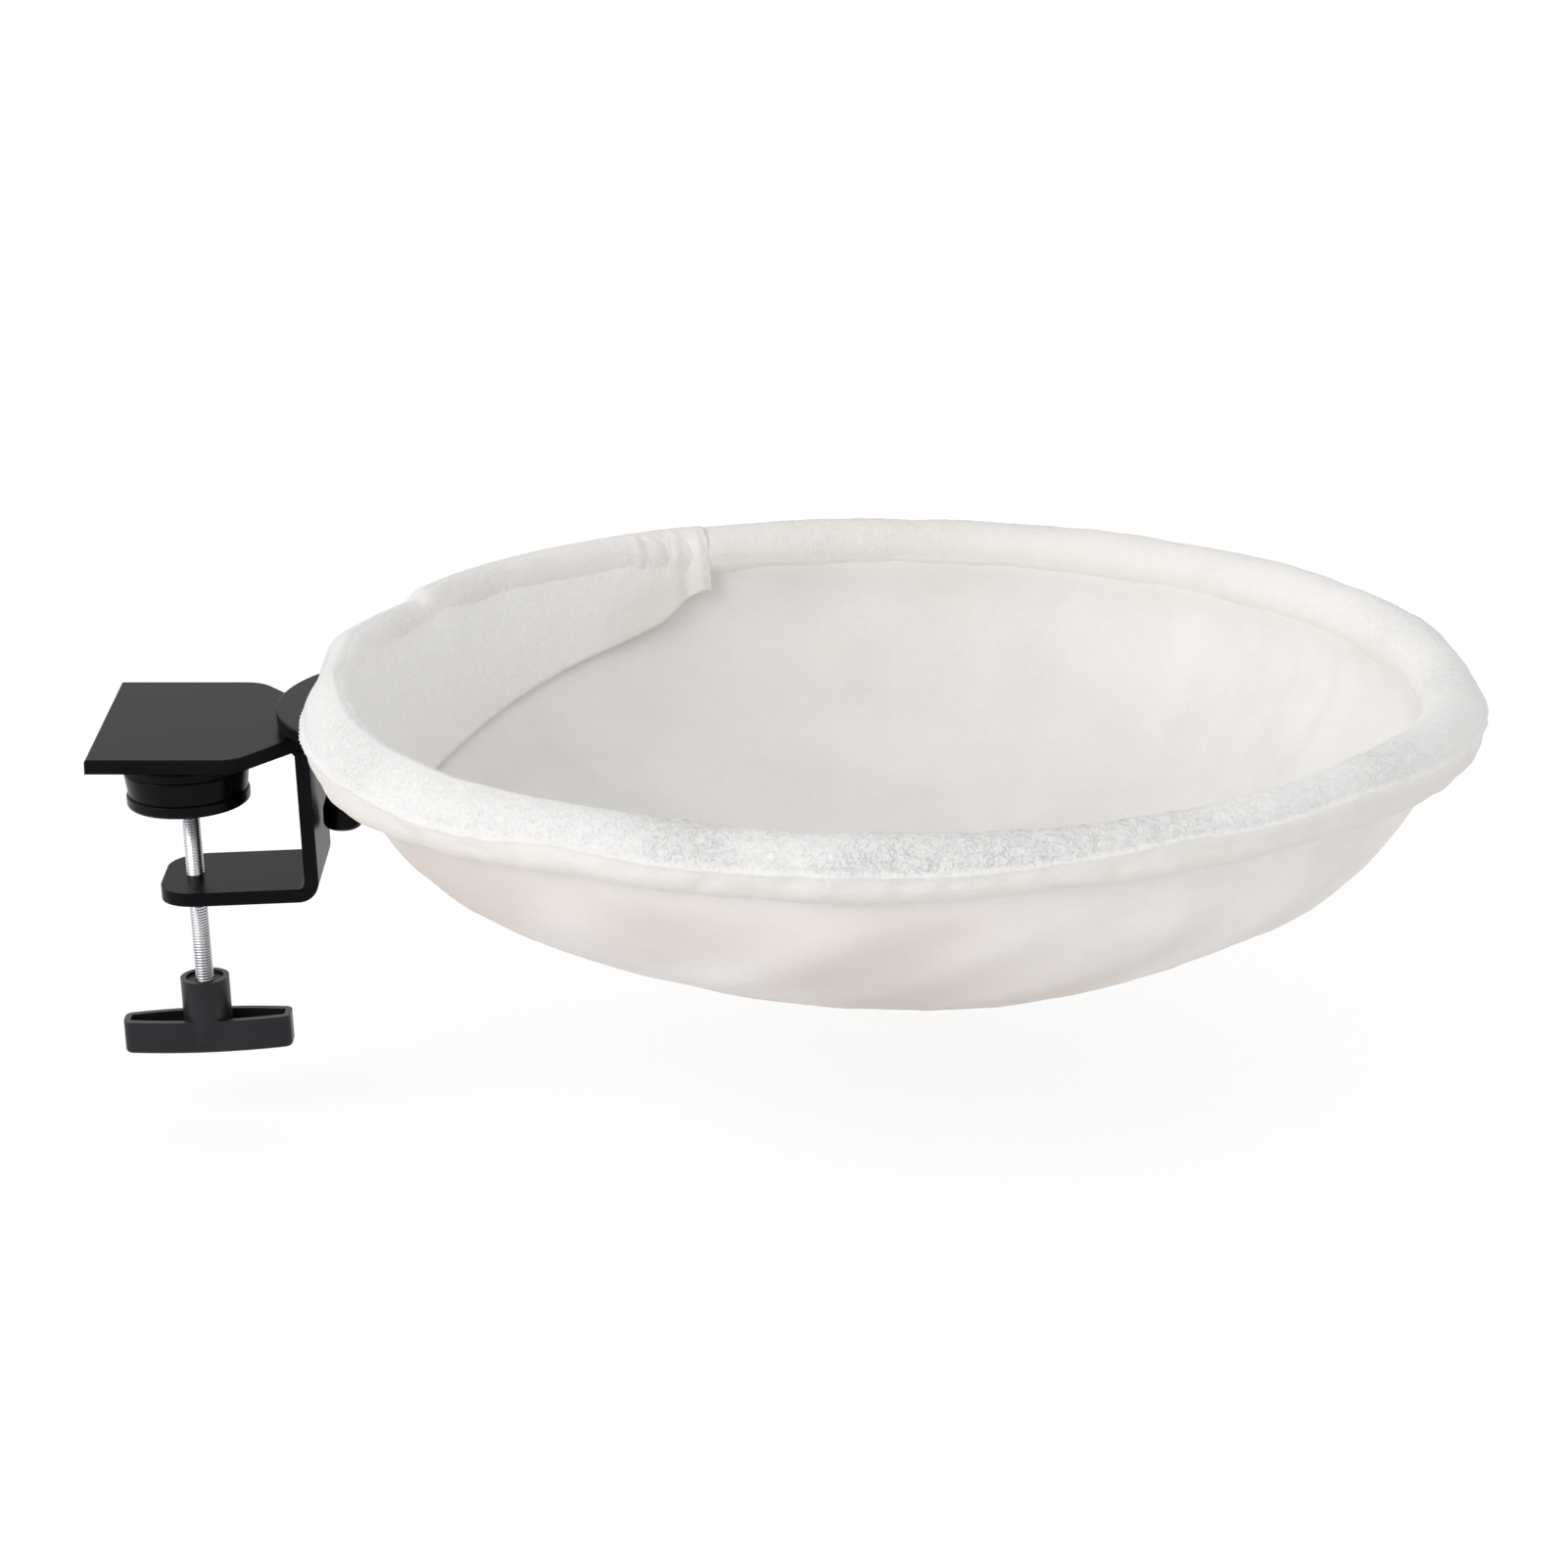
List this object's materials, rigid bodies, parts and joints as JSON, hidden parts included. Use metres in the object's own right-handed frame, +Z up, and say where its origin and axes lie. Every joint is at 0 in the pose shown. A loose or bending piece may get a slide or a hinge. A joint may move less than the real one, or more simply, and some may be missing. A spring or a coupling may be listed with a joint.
{
  "type": "windowsill cat bed",
  "caption": "Round plush hammock on a steel hoop, swivelling on a screw clamp that grips a windowsill between a flat plate and a pressure pad on a threaded rod with a T-handle.",
  "frame": {"origin": "on the underside of the top plate, where the plate rests on the sill, on the line of the clamp screw", "axes": "+X from the clamp towards the bed, +Y to the back, +Z up"},
  "size_m": [0.5865, 0.4992, 0.1795],
  "materials": {
    "powder_coat": "satin black powder coat",
    "zinc_steel": "bright zinc plate",
    "black_plastic": "moulded, lightly glossy",
    "black_rubber": "smooth matte rubber",
    "padding_foam": "soft foam tube",
    "white_plush": "short-pile white plush",
    "white_cloth": "smooth-backed white plush cloth"
  },
  "bodies": {
    "clamp": {"top_plate": "powder_coat", "strap_and_jaw": "powder_coat", "weld_beads": "powder_coat"},
    "ball": {"ball_tip": "zinc_steel"},
    "screw": {"clamp_screw": "zinc_steel", "t_handle": "black_plastic", "handle_insert": "zinc_steel"},
    "pad": {"pressure_pad": "black_plastic", "pad_face": "black_rubber", "pad_retainer": "black_plastic"},
    "bed": {"hub_plate": "powder_coat", "friction_pad": "black_rubber", "hoop_sockets": "powder_coat", "socket_screws": "zinc_steel", "hoop_front_half": "powder_coat", "hoop_back_half": "powder_coat", "hoop_joiner": "zinc_steel", "pivot_bolt": "zinc_steel", "plain_washer": "zinc_steel", "spring_washer": "zinc_steel", "foam_ring": "padding_foam", "hem_cover": "white_plush", "bowl_cover": "white_cloth", "bowl_lining": "white_plush", "hem_flap": "white_plush"},
    "knob": {"lock_knob": "black_plastic", "knob_insert": "zinc_steel"}
  },
  "joints": [
    {"name": "pad_lift", "type": "slide", "parent": "clamp", "child": "ball", "axis": [-0.0436, 0, 0.999], "range_m": [-0.03, 0.006]},
    {"name": "screw_turn", "type": "hinge", "parent": "ball", "child": "screw", "pos_m": [0.00271, 0, -0.06312], "axis": [-0.0436, 0, 0.999], "range_deg": [-8650, 1730]},
    {"name": "pad_tilt", "type": "hinge", "parent": "ball", "child": "pad", "pos_m": [0.00096, 0, -0.02316], "axis": [0, 1, 0], "range_deg": [-3, 3]},
    {"name": "bed_swivel", "type": "hinge", "parent": "clamp", "child": "bed", "pos_m": [0.067, 0, 0.003], "axis": [0, 0, 1], "range_deg": [-15, 15]},
    {"name": "lock_knob_turn", "type": "hinge", "parent": "bed", "child": "knob", "pos_m": [0.067, 0, -0.02], "axis": [0, 0, 1], "range_deg": [-720, 0]}
  ],
  "couplings": [
    {"joint": "screw_turn", "follows": "pad_lift", "rad_per_m": 5026.5}
  ]
}
